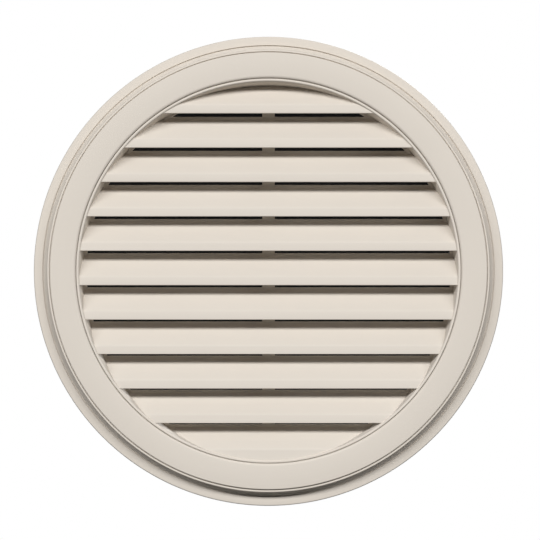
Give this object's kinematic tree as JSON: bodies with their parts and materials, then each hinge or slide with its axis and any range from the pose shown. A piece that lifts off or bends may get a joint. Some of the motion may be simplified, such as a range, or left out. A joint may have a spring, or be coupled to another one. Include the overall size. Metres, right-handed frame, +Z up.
{
  "type": "round gable vent",
  "caption": "Round moulded gable vent with fixed sloping louvre blades, a wall flange and collar, a clip-on trim ring and an insect screen behind the blades.",
  "frame": {"origin": "on the vent's axis, in the plane of the wall flange's back face", "axes": "+Y along the axis into the wall, +Z up, +X to the right for someone who faces the wall"},
  "size_m": [0.5588, 0.0565, 0.5588],
  "materials": {
    "linen_plastic": "moulded through-coloured plastic in a warm linen shade, satin",
    "screen_mesh": "vinyl-coated screen strands, charcoal, matte"
  },
  "bodies": {
    "root": {"louvre_panel": "linen_plastic", "trim_ring": "linen_plastic", "insect_screen": "screen_mesh"}
  },
  "joints": []
}
